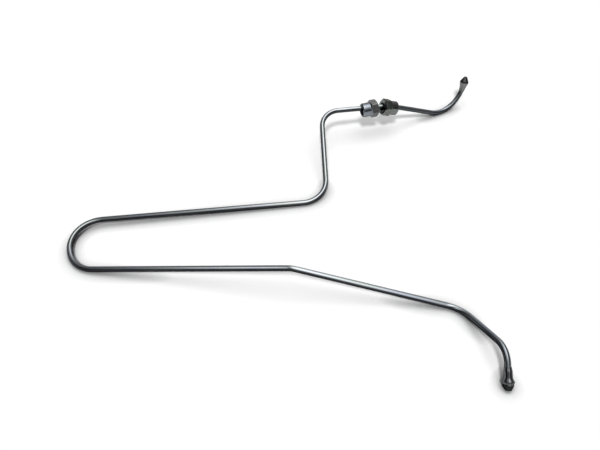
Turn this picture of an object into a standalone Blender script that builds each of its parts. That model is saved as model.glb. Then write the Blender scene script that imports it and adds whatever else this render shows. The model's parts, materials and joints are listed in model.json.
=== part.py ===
# Injector pipe: one bent steel tube with a sealing cone formed on each end, a collared sleeve
# behind the lower cone, and two union nuts hanging loose on the tube between the ends.
# Metres, +Z up. The pipe lies as it comes to rest, with the middle of its base at the origin.

import math

import bmesh
import bpy
from mathutils import Matrix, Vector

MM = 0.001

# Tube
TUBE_DIAMETER = 6.0 * MM
BORE_DIAMETER = 2.0 * MM
TUBE_RADIUS = TUBE_DIAMETER / 2
BORE_RADIUS = BORE_DIAMETER / 2

# Bend radii, measured on the tube's centreline
BEND = 25.0 * MM
HOOK_BEND = 22.0 * MM
CORNER_BEND = 30.0 * MM
RETURN_BEND = 32.0 * MM
RISE_BEND = 38.0 * MM
CRANK_BEND = 40.0 * MM

# Reaches of the route: its return loop to the left, its upper tip to the right and back, and
# its lower tip to the front
LEFT_REACH = 240.5 * MM
RIGHT_REACH = 231.0 * MM
BACK_REACH = 214.0 * MM
FRONT_REACH = 215.0 * MM

# Corner points of the centreline from the upper tip to the lower tip, each with the radius
# that rounds it
CORNERS = (
    (RIGHT_REACH, BACK_REACH, 39.5 * MM, 0.0),
    (RIGHT_REACH - 10.5 * MM, BACK_REACH - 18.5 * MM, -10.0 * MM, RISE_BEND),
    (RIGHT_REACH - 106.5 * MM, BACK_REACH - 60.0 * MM, 36.5 * MM, CRANK_BEND),
    (39.0 * MM, 134.0 * MM, 42.0 * MM, BEND),
    (44.0 * MM, 20.0 * MM, 2.5 * MM, CORNER_BEND),
    (-LEFT_REACH, -20.5 * MM, 9.5 * MM, RETURN_BEND),
    (19.5 * MM - LEFT_REACH, -79.0 * MM, 1.5 * MM, RETURN_BEND),
    (4.5 * MM, -102.5 * MM, 32.5 * MM, BEND),
    (169.5 * MM, -127.5 * MM, 1.0 * MM, BEND),
    (194.9 * MM, 29.0 * MM - FRONT_REACH, 24.0 * MM, HOOK_BEND),
    (195.0 * MM, -FRONT_REACH, 2.1 * MM, 0.0),
)

# Clearances
SEAT_GAP = 0.3 * MM
SLIDE_GAP = 0.8 * MM
THREAD_GAP = 0.59 * MM

# Sealing cones, both cut at the same angle, each with a narrow flat face round the bore
CONE_HALF_ANGLE = math.radians(30.0)
UPPER_FACE_WIDTH = 0.6 * MM
LOWER_FACE_WIDTH = 1.1 * MM
TIP_EDGE_ROUND = 0.5 * MM
CONE_SHOULDER_ROUND = 3.0 * MM

# Upper head: cone, ring and a trumpet neck that runs out into the tube
UPPER_RING_RISE = 2.5 * MM
UPPER_RING_WIDTH = 1.1 * MM
NECK_LENGTH = 16.5 * MM
NECK_POWER = 2.1
UPPER_RING_RADIUS = TUBE_RADIUS + UPPER_RING_RISE

# Lower head: cone with a short land, turned down to the tube inside the sleeve
LOWER_CONE_RISE = 1.7 * MM
LOWER_LAND_WIDTH = 2.0 * MM
LOWER_CONE_RADIUS = TUBE_RADIUS + LOWER_CONE_RISE

# Sleeve behind the lower cone: its bore clears the tube, its socket clears the cone's land
SLEEVE_WALL = 0.7 * MM
SLEEVE_LENGTH = 14.2 * MM
SLEEVE_LIP = 0.8 * MM
SLEEVE_SHOULDER = 4.0 * MM
SLEEVE_REAR_WALL = 0.2 * MM
COLLAR_WALL = 0.6 * MM
COLLAR_WIDTH = 0.9 * MM
COLLAR_FRONT_BEVEL = 1.0 * MM
COLLAR_FRONT_DROP = 0.5 * MM
COLLAR_FLARE = 3.6 * MM
SLEEVE_BORE_RADIUS = TUBE_RADIUS + SEAT_GAP
SOCKET_RADIUS = LOWER_CONE_RADIUS + SEAT_GAP
SLEEVE_RADIUS = SLEEVE_BORE_RADIUS + SLEEVE_WALL
COLLAR_RADIUS = SOCKET_RADIUS + COLLAR_WALL

# Union nuts: the hole slides over the sleeve, the thread's crests clear the collar, and the
# 1.5 mm thread then measures 14 mm at its roots and the hexagon 19 mm across flats
THREAD_PITCH = 1.5 * MM
THREAD_HEIGHT_PER_PITCH = 0.5413
SKIRT_WALL = 1.6 * MM
HEX_STEP = 0.9 * MM
HEX_LENGTH = 9.8 * MM
HEX_CHAMFER_INSET = 0.75 * MM
HEX_CHAMFER_ANGLE = math.radians(38.0)
SKIRT_LENGTH = 10.0 * MM
SKIRT_CHAMFER = 1.0 * MM
HOLE_EDGE_CHAMFER = 0.4 * MM
THREAD_BORE_DEPTH = 10.6 * MM
MOUTH_CHAMFER = 0.25 * MM
HOLE_RADIUS = SLEEVE_RADIUS + SLIDE_GAP
THREAD_BORE_RADIUS = COLLAR_RADIUS + THREAD_GAP
THREAD_ROOT_RADIUS = THREAD_BORE_RADIUS + THREAD_HEIGHT_PER_PITCH * THREAD_PITCH
SKIRT_RADIUS = THREAD_ROOT_RADIUS + SKIRT_WALL
HEX_ACROSS_FLATS = 2 * (SKIRT_RADIUS + HEX_STEP)
NUT_LENGTH = HEX_LENGTH + SKIRT_LENGTH

# Where each nut's hexagon end hangs, measured along the tube from the crank that holds the
# upper nut, and how far each nut is turned from having one flat straight up. A nut leans from
# straight below the tube towards the front, and its mouth drops by a share of its play.
UPPER_NUT_FROM_CRANK = 9.7 * MM
UPPER_NUT_TURN = math.radians(42.0)
UPPER_NUT_LEAN = math.radians(35.0)
UPPER_MOUTH_LEAN = math.radians(50.0)
UPPER_MOUTH_DROP = 0.6
LOWER_NUT_FROM_CRANK = 16.6 * MM
LOWER_NUT_TURN = math.radians(57.5)
LOWER_NUT_LEAN = math.radians(35.0)
LOWER_MOUTH_LEAN = math.radians(35.0)
LOWER_MOUTH_DROP = 1.0

# Fineness of the meshes
TUBE_SIDES = 20
BORE_SIDES = TUBE_SIDES // 2
TURNED_SIDES = 48
BEND_STEP = math.radians(9.0)
ROUND_STEPS = 3
NECK_STEPS = 8
SHOULDER_STEPS = 4
CLOSEST_STATIONS = 1.0 * MM
CUTTER_REACH = 2.5 * MM
MERGE_DISTANCE = 0.001 * MM
SHARP_EDGE = math.radians(22.0)


def straight(start, end):
    # A straight stretch: its length, and a function from distance to place and direction.
    heading = (end - start).normalized()
    return (end - start).length, lambda distance: (start + heading * distance, heading)


def bend(corner, before, after, radius):
    # An arc that rounds a corner, with the two points where it meets the straight stretches.
    turn = math.pi - before.angle(after)
    reach = radius * math.tan(turn / 2)
    enter = corner + before * reach
    leave = corner + after * reach
    centre = corner + (before + after).normalized() * radius / math.cos(turn / 2)
    spoke = enter - centre

    def along(distance):
        angle = distance / radius
        place = centre + spoke * math.cos(angle) - before * radius * math.sin(angle)
        heading = -before * math.cos(angle) - spoke.normalized() * math.sin(angle)
        return place, heading

    return enter, leave, (radius * turn, along)


def make_route():
    # Straight stretches and bends in order, and the distance of each corner along them.
    points = [Vector(corner[:3]) for corner in CORNERS]
    stretches = []
    corner_distances = [0.0]
    start = points[0]
    travelled = 0.0
    for index in range(1, len(points) - 1):
        before = (points[index - 1] - points[index]).normalized()
        after = (points[index + 1] - points[index]).normalized()
        enter, leave, arc = bend(points[index], before, after, CORNERS[index][3])
        stretches.append(straight(start, enter))
        stretches.append(arc)
        travelled += stretches[-2][0]
        corner_distances.append(travelled + arc[0] / 2)
        travelled += arc[0]
        start = leave
    stretches.append(straight(start, points[-1]))
    corner_distances.append(travelled + stretches[-1][0])
    return stretches, corner_distances


def on_route(stretches, distance):
    # Place and direction at a distance along the centreline from the upper tip.
    for length, along in stretches[:-1]:
        if distance <= length:
            return along(distance)
        distance -= length
    return stretches[-1][1](distance)


def cone_outline(face_width, base_radius, land):
    # Tip face edge, rounded edge, sealing cone, rounded shoulder and land, as pairs of
    # distance from the tip and radius.
    outline = []
    lean = math.pi / 2 - CONE_HALF_ANGLE
    for step in range(ROUND_STEPS + 1):
        angle = lean * step / ROUND_STEPS
        outline.append((TIP_EDGE_ROUND * (1 - math.cos(angle)),
                        BORE_RADIUS + face_width + TIP_EDGE_ROUND * math.sin(angle)))
    cone_start, cone_start_radius = outline[-1]
    cone_end_radius = base_radius - CONE_SHOULDER_ROUND * (1 - math.cos(CONE_HALF_ANGLE))
    cone_end = cone_start + (cone_end_radius - cone_start_radius) / math.tan(CONE_HALF_ANGLE)
    shoulder_end = cone_end + CONE_SHOULDER_ROUND * math.sin(CONE_HALF_ANGLE)
    for step in range(ROUND_STEPS + 1):
        angle = CONE_HALF_ANGLE * (1 - step / ROUND_STEPS)
        outline.append((shoulder_end - CONE_SHOULDER_ROUND * math.sin(angle),
                        base_radius - CONE_SHOULDER_ROUND * (1 - math.cos(angle))))
    outline.append((shoulder_end + land, base_radius))
    return outline


def upper_head_outline():
    # The ring runs into the tube through a trumpet whose radius falls with a power of distance.
    outline = cone_outline(UPPER_FACE_WIDTH, UPPER_RING_RADIUS, UPPER_RING_WIDTH)
    ring_end = outline[-1][0]
    for step in range(1, NECK_STEPS + 1):
        share = step / NECK_STEPS
        swell = UPPER_RING_RISE * (1 - share) ** NECK_POWER
        outline.append((ring_end + NECK_LENGTH * share, TUBE_RADIUS + swell))
    return outline


def lower_head_outline():
    # Behind its land the cone falls at 45 degrees to the tube.
    outline = cone_outline(LOWER_FACE_WIDTH, LOWER_CONE_RADIUS, LOWER_LAND_WIDTH)
    outline.append((outline[-1][0] + LOWER_CONE_RISE, TUBE_RADIUS))
    return outline


def sleeve_outline():
    # A closed outline of distance from the tip and radius: along the outside from the front,
    # over the collar to the shoulder, and back along the bore, which follows the cone's
    # 45 degree back.
    land_end = lower_head_outline()[-2][0]
    front = land_end - SLEEVE_LIP
    collar_start = front + COLLAR_FRONT_BEVEL
    collar_end = collar_start + COLLAR_WIDTH
    rear = front + SLEEVE_LENGTH
    outline = [(front, COLLAR_RADIUS - COLLAR_FRONT_DROP)]
    outline += [(collar_start, COLLAR_RADIUS), (collar_end, COLLAR_RADIUS)]
    for step in range(1, ROUND_STEPS + 1):
        share = step / ROUND_STEPS
        sink = (COLLAR_RADIUS - SLEEVE_RADIUS) * math.sin(share * math.pi / 2)
        outline.append((collar_end + COLLAR_FLARE * share, COLLAR_RADIUS - sink))
    for step in range(SHOULDER_STEPS + 1):
        share = step / SHOULDER_STEPS
        wall = SLEEVE_WALL - (SLEEVE_WALL - SLEEVE_REAR_WALL) * (1 - math.cos(share * math.pi)) / 2
        outline.append((rear - SLEEVE_SHOULDER * (1 - share), SLEEVE_BORE_RADIUS + wall))
    socket_end = land_end + SEAT_GAP * math.tan(math.pi / 8)
    outline.append((rear, SLEEVE_BORE_RADIUS))
    outline.append((socket_end + SOCKET_RADIUS - SLEEVE_BORE_RADIUS, SLEEVE_BORE_RADIUS))
    outline += [(socket_end, SOCKET_RADIUS), (front, SOCKET_RADIUS)]
    return outline


def smooth(mesh):
    mesh.shade_smooth()
    mesh.set_sharp_from_angle(angle=SHARP_EDGE)
    return mesh


def join_rings(first, second, sides):
    # Quads between two rings of the same number of points.
    for side in range(sides):
        following = (side + 1) % sides
        yield (first + side, first + following, second + following, second + side)


def swept_mesh(name, stations, sides, bore_radius, bore_sides):
    # A tube whose outside radius changes along its route, with a round bore right through.
    # Each station is its place, direction and outside radius.
    outer = []
    inner = []
    across = stations[0][1].orthogonal().normalized()
    heading = stations[0][1]
    for place, next_heading, radius in stations:
        across = heading.rotation_difference(next_heading) @ across
        across = (across - next_heading * across.dot(next_heading)).normalized()
        heading = next_heading
        beside = heading.cross(across)
        for count, reach, ring_points in ((sides, radius, outer), (bore_sides, bore_radius, inner)):
            for side in range(count):
                angle = 2 * math.pi * side / count
                spoke = across * math.cos(angle) + beside * math.sin(angle)
                ring_points.append(place + spoke * reach)
    faces = []
    rings = len(stations)
    first_inner = len(outer)
    for ring in range(rings - 1):
        faces += join_rings(ring * sides, (ring + 1) * sides, sides)
        low = first_inner + ring * bore_sides
        faces += [face[::-1] for face in join_rings(low, low + bore_sides, bore_sides)]
    ratio = sides // bore_sides
    for ring, facing_back in ((0, True), (rings - 1, False)):
        rim = ring * sides
        hole = first_inner + ring * bore_sides
        for side in range(sides):
            step = (side + 1) % sides
            hole_side = hole + (side // ratio) % bore_sides
            hole_step = hole + (step // ratio) % bore_sides
            face = [rim + side, rim + step, hole_step, hole_side]
            if hole_step == hole_side:
                face.pop()
            faces.append(face[::-1] if facing_back else face)
    mesh = bpy.data.meshes.new(name)
    mesh.from_pydata(outer + inner, [], faces)
    mesh.validate()
    return smooth(mesh)


def finished_mesh(name, work):
    bmesh.ops.recalc_face_normals(work, faces=work.faces[:])
    mesh = bpy.data.meshes.new(name)
    work.to_mesh(mesh)
    work.free()
    return smooth(mesh)


def turned_mesh(name, outline, sides, closed):
    # A solid of revolution about +Z from pairs of height and radius. A closed outline makes
    # a ring; an open one starts and ends on the axis.
    turning = bmesh.new()
    loop = [turning.verts.new((radius, 0.0, height)) for height, radius in outline]
    edges = [turning.edges.new(pair) for pair in zip(loop, loop[1:])]
    if closed:
        edges.append(turning.edges.new((loop[-1], loop[0])))
    bmesh.ops.spin(turning, geom=loop + edges, cent=(0, 0, 0), axis=(0, 0, 1),
                   angle=2 * math.pi, steps=sides)
    bmesh.ops.remove_doubles(turning, verts=turning.verts[:], dist=MERGE_DISTANCE)
    return finished_mesh(name, turning)


def hexagon_bar(name, across_flats, low, high):
    # A hexagonal bar along +Z with one flat facing +X.
    bar = bmesh.new()
    corner = across_flats / 2 / math.cos(math.pi / 6)
    rim = []
    for side in range(6):
        angle = math.pi / 6 + side * math.pi / 3
        rim.append(bar.verts.new((corner * math.cos(angle), corner * math.sin(angle), low)))
    base = bar.faces.new(rim)
    raised = bmesh.ops.extrude_face_region(bar, geom=[base])
    lifted = [item for item in raised["geom"] if isinstance(item, bmesh.types.BMVert)]
    bmesh.ops.translate(bar, verts=lifted, vec=(0, 0, high - low))
    return finished_mesh(name, bar)


def new_object(name, mesh):
    made = bpy.data.objects.new(name, mesh)
    bpy.context.scene.collection.objects.link(made)
    return made


def combine(target, tool, operation):
    modifier = target.modifiers.new(operation.lower(), "BOOLEAN")
    modifier.object = tool
    modifier.operation = operation
    modifier.solver = "EXACT"


def nut_mesh():
    # Hexagon with both ends chamfered, a round skirt, a hole that clears the sleeve, a seat
    # that presses on the head, and a bore at the thread's crests. The hexagon end is at z = 0
    # and the mouth is at the skirt's end.
    chamfer_radius = HEX_ACROSS_FLATS / 2 - HEX_CHAMFER_INSET
    wide = HEX_ACROSS_FLATS / 2 / math.cos(math.pi / 6) + HEX_CHAMFER_INSET
    chamfer_depth = (wide - chamfer_radius) * math.tan(HEX_CHAMFER_ANGLE)
    trimming = [(0.0, 0.0), (0.0, chamfer_radius), (chamfer_depth, wide)]
    trimming += [(HEX_LENGTH - chamfer_depth, wide), (HEX_LENGTH, chamfer_radius), (HEX_LENGTH, 0.0)]
    skirt = [(HEX_LENGTH / 2, 0.0), (HEX_LENGTH / 2, SKIRT_RADIUS)]
    skirt += [(NUT_LENGTH - SKIRT_CHAMFER, SKIRT_RADIUS), (NUT_LENGTH, SKIRT_RADIUS - SKIRT_CHAMFER)]
    skirt.append((NUT_LENGTH, 0.0))
    seat_top = NUT_LENGTH - THREAD_BORE_DEPTH
    seat_low = seat_top - (THREAD_BORE_RADIUS - HOLE_RADIUS)
    past_mouth = NUT_LENGTH + CUTTER_REACH
    passage = [(-CUTTER_REACH, 0.0), (-CUTTER_REACH, HOLE_RADIUS + HOLE_EDGE_CHAMFER + CUTTER_REACH)]
    passage += [(HOLE_EDGE_CHAMFER, HOLE_RADIUS), (seat_low, HOLE_RADIUS)]
    passage += [(seat_top, THREAD_BORE_RADIUS), (NUT_LENGTH - MOUTH_CHAMFER, THREAD_BORE_RADIUS)]
    passage += [(past_mouth, THREAD_BORE_RADIUS + MOUTH_CHAMFER + CUTTER_REACH), (past_mouth, 0.0)]

    bar = hexagon_bar("bar", HEX_ACROSS_FLATS, -CUTTER_REACH, HEX_LENGTH + CUTTER_REACH)
    blank = new_object("blank", bar)
    tools = []
    for name, outline, operation in (("trimming", trimming, "INTERSECT"), ("skirt", skirt, "UNION"),
                                     ("passage", passage, "DIFFERENCE")):
        tool = new_object(name, turned_mesh(name, outline, TURNED_SIDES, False))
        combine(blank, tool, operation)
        tools.append(tool)
    bpy.context.view_layer.update()
    finished = blank.evaluated_get(bpy.context.evaluated_depsgraph_get())
    mesh = bpy.data.meshes.new_from_object(finished)
    for leftover in tools + [blank]:
        bpy.data.objects.remove(leftover)
    return smooth(mesh)


def steel(name, colour, roughness):
    material = bpy.data.materials.new(name)
    material.use_nodes = True
    shader = material.node_tree.nodes["Principled BSDF"]
    shader.inputs["Base Color"].default_value = (*colour, 1.0)
    shader.inputs["Metallic"].default_value = 1.0
    shader.inputs["Roughness"].default_value = roughness
    return material


def front_of(axis, up):
    # The direction square to both that points to the front, which is -Y.
    across = axis.cross(up).normalized()
    return -across if across.y > 0 else across


def axes_matrix(origin, z_axis, x_axis):
    x_axis = (x_axis - z_axis * x_axis.dot(z_axis)).normalized()
    y_axis = z_axis.cross(x_axis)
    turned = Matrix((x_axis, y_axis, z_axis)).transposed()
    return Matrix.Translation(origin) @ turned.to_4x4()


def hung_nut_matrix(stretches, hex_end, mouth_way, turn, lean, mouth_lean, mouth_drop):
    # The nut hangs on the tube at the inner end of its hole. Its mouth drops by a share of the
    # play there, or until the hole's outer end meets the tube from below. mouth_way is +1 or -1
    # along the route.
    hole_end = NUT_LENGTH - THREAD_BORE_DEPTH - (THREAD_BORE_RADIUS - HOLE_RADIUS)
    middle = on_route(stretches, hex_end + mouth_way * hole_end)[0]
    mouth = on_route(stretches, hex_end + mouth_way * NUT_LENGTH)[0]
    chord = (mouth - on_route(stretches, hex_end)[0]).normalized()
    up = Vector((0, 0, 1))
    up = (up - chord * up.dot(chord)).normalized()
    front = front_of(chord, up)
    inscribed = math.cos(math.pi / TURNED_SIDES)
    hole_play = HOLE_RADIUS * inscribed - TUBE_RADIUS - SEAT_GAP
    mouth_play = THREAD_BORE_RADIUS * inscribed - TUBE_RADIUS - SEAT_GAP
    tilted = hole_play * (2 * NUT_LENGTH / hole_end - 1)
    drop = min(mouth_play * mouth_drop, tilted)
    seat = middle + (front * math.sin(lean) - up * math.cos(lean)) * hole_play
    mouth += (front * math.sin(mouth_lean) - up * math.cos(mouth_lean)) * drop
    axis = (mouth - seat).normalized()
    top = (up - axis * up.dot(axis)).normalized()
    flat = top * math.cos(turn) + front_of(axis, top) * math.sin(turn)
    return axes_matrix(seat - axis * hole_end, axis, flat)


def build():
    for item in list(bpy.data.objects):
        bpy.data.objects.remove(item)

    stretches, corner_distances = make_route()
    total = corner_distances[-1]

    upper = upper_head_outline()
    lower = lower_head_outline()
    distances = list(upper)
    travelled = 0.0
    clear_of_upper = upper[-1][0] + CLOSEST_STATIONS
    clear_of_lower = total - lower[-1][0] - CLOSEST_STATIONS
    for index, (length, along) in enumerate(stretches):
        if index % 2:
            steps = max(2, round(length / CORNERS[index // 2 + 1][3] / BEND_STEP))
            for step in range(steps + 1):
                distance = travelled + length * step / steps
                if clear_of_upper < distance < clear_of_lower:
                    distances.append((distance, TUBE_RADIUS))
        travelled += length
    distances += [(total - distance, radius) for distance, radius in reversed(lower)]
    stations = [(*on_route(stretches, distance), radius) for distance, radius in distances]
    pipe = new_object("pipe", swept_mesh("pipe", stations, TUBE_SIDES, BORE_RADIUS, BORE_SIDES))

    tip, heading = on_route(stretches, total)
    sleeve = new_object("lower_sleeve", turned_mesh("lower_sleeve", sleeve_outline(), TURNED_SIDES, True))
    sleeve.matrix_world = axes_matrix(tip, -heading, Vector((1, 0, 0)))

    crank = corner_distances[[corner[3] for corner in CORNERS].index(CRANK_BEND)]
    nut = nut_mesh()
    upper_nut = new_object("upper_union_nut", nut)
    upper_nut.matrix_world = hung_nut_matrix(stretches, crank + UPPER_NUT_FROM_CRANK, -1, UPPER_NUT_TURN,
                                             UPPER_NUT_LEAN, UPPER_MOUTH_LEAN, UPPER_MOUTH_DROP)
    lower_nut = new_object("lower_union_nut", nut)
    lower_nut.matrix_world = hung_nut_matrix(stretches, crank + LOWER_NUT_FROM_CRANK, 1, LOWER_NUT_TURN,
                                             LOWER_NUT_LEAN, LOWER_MOUTH_LEAN, LOWER_MOUTH_DROP)

    nut.materials.append(None)
    pieces = (
        (pipe, steel("tube_steel", (0.56, 0.57, 0.59), 0.25)),
        (sleeve, steel("sleeve_steel", (0.46, 0.47, 0.48), 0.3)),
        (upper_nut, steel("upper_nut_steel", (0.40, 0.40, 0.39), 0.4)),
        (lower_nut, steel("lower_nut_steel", (0.42, 0.41, 0.40), 0.38)),
    )
    bpy.context.view_layer.update()
    corners = []
    for piece, finish in pieces:
        if not piece.data.materials:
            piece.data.materials.append(None)
        piece.material_slots[0].link = "OBJECT"
        piece.material_slots[0].material = finish
        corners += [piece.matrix_world @ vertex.co for vertex in piece.data.vertices]

    # The whole assembly hangs on one empty, which brings the middle of its base to the origin.
    low = Vector([min(corner[axis] for corner in corners) for axis in range(3)])
    high = Vector([max(corner[axis] for corner in corners) for axis in range(3)])
    middle = (low + high) / 2
    resting_frame = new_object("resting_frame", None)
    resting_frame.location = (-middle.x, -middle.y, -low.z)
    for piece, finish in pieces:
        piece.parent = resting_frame
    bpy.context.view_layer.update()


build()
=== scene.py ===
# Injector pipe: a bent steel fuel tube with a sealing cone on each end, a collared sleeve behind
# the lower cone and two loose union nuts, laid on a white table. Sizes in dictionaries are in
# millimetres unless a note says otherwise.
import json
import math

import bpy
import numpy as np
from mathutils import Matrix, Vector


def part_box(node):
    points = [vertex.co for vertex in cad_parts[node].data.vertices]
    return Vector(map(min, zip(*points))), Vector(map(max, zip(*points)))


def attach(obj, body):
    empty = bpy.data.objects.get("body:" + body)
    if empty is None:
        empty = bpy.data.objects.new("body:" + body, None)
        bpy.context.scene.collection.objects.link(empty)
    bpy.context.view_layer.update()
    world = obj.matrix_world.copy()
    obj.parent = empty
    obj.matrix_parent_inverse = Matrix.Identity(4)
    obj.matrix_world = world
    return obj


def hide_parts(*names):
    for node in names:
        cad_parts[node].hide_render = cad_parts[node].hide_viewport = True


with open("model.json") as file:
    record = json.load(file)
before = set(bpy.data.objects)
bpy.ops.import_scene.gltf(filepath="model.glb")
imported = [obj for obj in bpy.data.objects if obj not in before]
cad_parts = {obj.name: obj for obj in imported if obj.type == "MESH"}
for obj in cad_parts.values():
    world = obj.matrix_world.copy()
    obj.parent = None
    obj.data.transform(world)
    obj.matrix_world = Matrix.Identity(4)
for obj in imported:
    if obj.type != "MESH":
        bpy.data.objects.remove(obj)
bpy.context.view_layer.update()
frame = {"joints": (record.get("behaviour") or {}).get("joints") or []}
mm = 0.001  # metres
upward = np.array([0.0, 0.0, 1.0])
print("frame loaded")


# Rows of numbers and directions

def unit(vectors):  # each vector divided by its own length
    return vectors / np.linalg.norm(vectors, axis=-1, keepdims=True)


def easeIn(values, low, high):  # 3t^2 - 2t^3, where t runs from 0 at low to 1 at high
    t = np.clip((values - low) / (high - low), 0.0, 1.0)
    return t * t * (3.0 - 2.0 * t)


def spread(start, end, step):  # evenly spaced values from start up to, but not including, end
    count = max(1, math.ceil(abs(end - start) / step))
    return start + (end - start) * np.arange(count) / count


def turnSteps(count):  # angles once round, evenly spaced
    return 2 * math.pi * np.arange(count) / count


def filletOutline(outline, radii, steps=5):
    # Each corner is cut back by its radius along both sides and filled with a parabola:
    # point = (1-t)^2 enter + 2t(1-t) corner + t^2 leave.
    most = 0.45  # share of a side that one corner may take
    least = 1e-4  # a smaller cut leaves the corner sharp
    outline = np.array(outline, float)
    t = np.linspace(0.0, 1.0, steps)[:, None]
    rounded = [outline[:1]]
    for index in range(1, len(outline) - 1):
        corner = outline[index]
        toBefore = outline[index - 1] - corner
        toAfter = outline[index + 1] - corner
        reach = min(radii[index], most * np.linalg.norm(toBefore), most * np.linalg.norm(toAfter))
        if reach < least:
            rounded.append(corner[None])
            continue
        enter = corner + unit(toBefore) * reach
        leave = corner + unit(toAfter) * reach
        rounded.append((1 - t) ** 2 * enter + 2 * t * (1 - t) * corner + t ** 2 * leave)
    rounded.append(outline[-1:])
    return np.concatenate(rounded)


def fillRows(outline, step):  # long sides of an outline get extra points, at most a step apart
    gaps = np.linalg.norm(np.diff(outline, axis=0), axis=1)
    rows = []
    for start, end, gap in zip(outline[:-1], outline[1:], gaps):
        count = max(1, math.ceil(gap / step))
        rows.append(start + (end - start) * (np.arange(count) / count)[:, None])
    rows.append(outline[-1:])
    return np.concatenate(rows)


# Closed surfaces on a grid of rows along the piece and columns around it

def gridSurface(name, points, layers):
    # A ring-shaped skin: both the rows and the columns close on themselves. points has the
    # shape (rows, columns, 3) in metres. Of the layers that the finishes read, skin is where
    # each point lies on the piece when it is straight and upright, in metres, and wear, milled
    # and inner run from 0 to 1.
    rows, columns = points.shape[:2]
    row, column = np.meshgrid(np.arange(rows), np.arange(columns), indexing="ij")
    nextRow = (row + 1) % rows
    nextColumn = (column + 1) % columns
    corners = np.stack((row * columns + column, nextRow * columns + column,
                        nextRow * columns + nextColumn, row * columns + nextColumn), -1)
    mesh = bpy.data.meshes.new(name)
    mesh.vertices.add(rows * columns)
    mesh.vertices.foreach_set("co", points.astype(np.float32).ravel())
    mesh.loops.add(corners.size)
    mesh.loops.foreach_set("vertex_index", corners.astype(np.int32).ravel())
    mesh.polygons.add(rows * columns)
    mesh.polygons.foreach_set("loop_start", np.arange(0, corners.size, 4, dtype=np.int32))
    mesh.update(calc_edges=True)
    for layer, values in layers.items():
        kind, field = ("FLOAT_VECTOR", "vector") if values.ndim == 3 else ("FLOAT", "value")
        attribute = mesh.attributes.new(layer, kind, "POINT")
        attribute.data.foreach_set(field, values.astype(np.float32).ravel())
    mesh.shade_smooth()
    piece = bpy.data.objects.new(name, mesh)
    bpy.context.scene.collection.objects.link(piece)
    return piece


def skinLayer(along, radius, angles):  # (radius*cos(angle), radius*sin(angle), distance along the piece)
    return np.stack((radius * np.cos(angles), radius * np.sin(angles), along), -1)


def turnedSurface(name, origin, axis, side, along, radius, angles, layers):
    # point = origin + axis*along + radius*(side*cos(angle) + (side x axis)*sin(angle)), all in metres
    beside = np.cross(side, axis)
    spokes = side * np.cos(angles)[:, None] + beside * np.sin(angles)[:, None]
    points = origin + axis * along[..., None] + spokes * radius[..., None]
    return gridSurface(name, points, {"skin": skinLayer(along, radius, angles), **layers})


# Materials from nodes, all read from the point layers of the pieces

def addNode(tree, kind, inputs=(), **settings):
    node = tree.nodes.new(kind)
    for key, value in settings.items():
        setattr(node, key, value)
    for socket, value in dict(inputs).items():
        if isinstance(value, bpy.types.NodeSocket):
            tree.links.new(value, node.inputs[socket])
        else:
            node.inputs[socket].default_value = value
    return node


def layerValue(tree, layer, output="Fac"):
    return addNode(tree, "ShaderNodeAttribute", attribute_name=layer).outputs[output]


def skinAxis(tree, axis):  # in metres: Z runs along the piece, and Y is up on the pipe and the sleeve
    return addNode(tree, "ShaderNodeSeparateXYZ", {0: layerValue(tree, "skin", "Vector")}).outputs[axis]


def noise(tree, scale, detail, roughness=0.55):  # features of 1/scale metres on each axis of the skin
    place = addNode(tree, "ShaderNodeMapping", {"Vector": layerValue(tree, "skin", "Vector"), "Scale": scale})
    inputs = {"Vector": place.outputs[0], "Scale": 1.0, "Detail": detail, "Roughness": roughness}
    return addNode(tree, "ShaderNodeTexNoise", inputs).outputs["Fac"]


def remap(tree, value, low, high, start=0.0, end=1.0):  # low..high becomes start..end, and no further
    inputs = {"Value": value, "From Min": low, "From Max": high, "To Min": start, "To Max": end}
    return addNode(tree, "ShaderNodeMapRange", inputs).outputs[0]


def remapSize(tree, size, low, high, start=0.0, end=1.0):  # the same for a place on the skin, in millimetres
    return remap(tree, size, low * mm, high * mm, start, end)


def remapNoise(tree, value, start, end):  # nearly all of a noise lies between 0.3 and 0.7
    return remap(tree, value, 0.3, 0.7, start, end)


def maths(tree, operation, first, second):
    return addNode(tree, "ShaderNodeMath", {0: first, 1: second}, operation=operation).outputs[0]


def ramp(tree, value, stops):  # colours at places from 0 to 1
    node = addNode(tree, "ShaderNodeValToRGB", {"Fac": value})
    while len(node.color_ramp.elements) < len(stops):
        node.color_ramp.elements.new(0.5)
    for element, (place, colour) in zip(node.color_ramp.elements, stops):
        element.position = place
        element.color = (*colour, 1.0)
    return node.outputs["Color"]


def blendValues(tree, share, first, second):  # first at 0, second at 1; sockets 2 and 3 take numbers
    return addNode(tree, "ShaderNodeMix", {"Factor": share, 2: first, 3: second}).outputs[0]


def blendColours(tree, share, first, second, how="MIX"):  # the same, where sockets 6 and 7 take colours
    first, second = ((*colour, 1.0) if isinstance(colour, tuple) else colour for colour in (first, second))
    inputs = {"Factor": share, 6: first, 7: second}
    return addNode(tree, "ShaderNodeMix", inputs, data_type="RGBA", blend_type=how).outputs[2]


def multiplyColours(tree, first, second):
    return blendColours(tree, 1.0, first, second, "MULTIPLY")


def bump(tree, height, strength, depth, normal=None):
    inputs = {"Height": height, "Strength": strength, "Distance": depth * mm}
    if normal:
        inputs["Normal"] = normal
    return addNode(tree, "ShaderNodeBump", inputs).outputs["Normal"]


def newMetal(name, edgeTint):  # fully metallic, with its reflection at grazing angles dimmed to edgeTint
    metal = bpy.data.materials.new(name)
    metal.use_nodes = True
    shader = metal.node_tree.nodes["Principled BSDF"]
    shader.inputs["Metallic"].default_value = 1.0
    shader.inputs["Specular Tint"].default_value = (edgeTint, edgeTint, edgeTint, 1.0)
    return metal, metal.node_tree, shader


def connectMetal(tree, shader, colour, rough, normal):
    for socket, value in (("Base Color", colour), ("Roughness", rough), ("Normal", normal)):
        tree.links.new(value, shader.inputs[socket])


# The route of the tube

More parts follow.
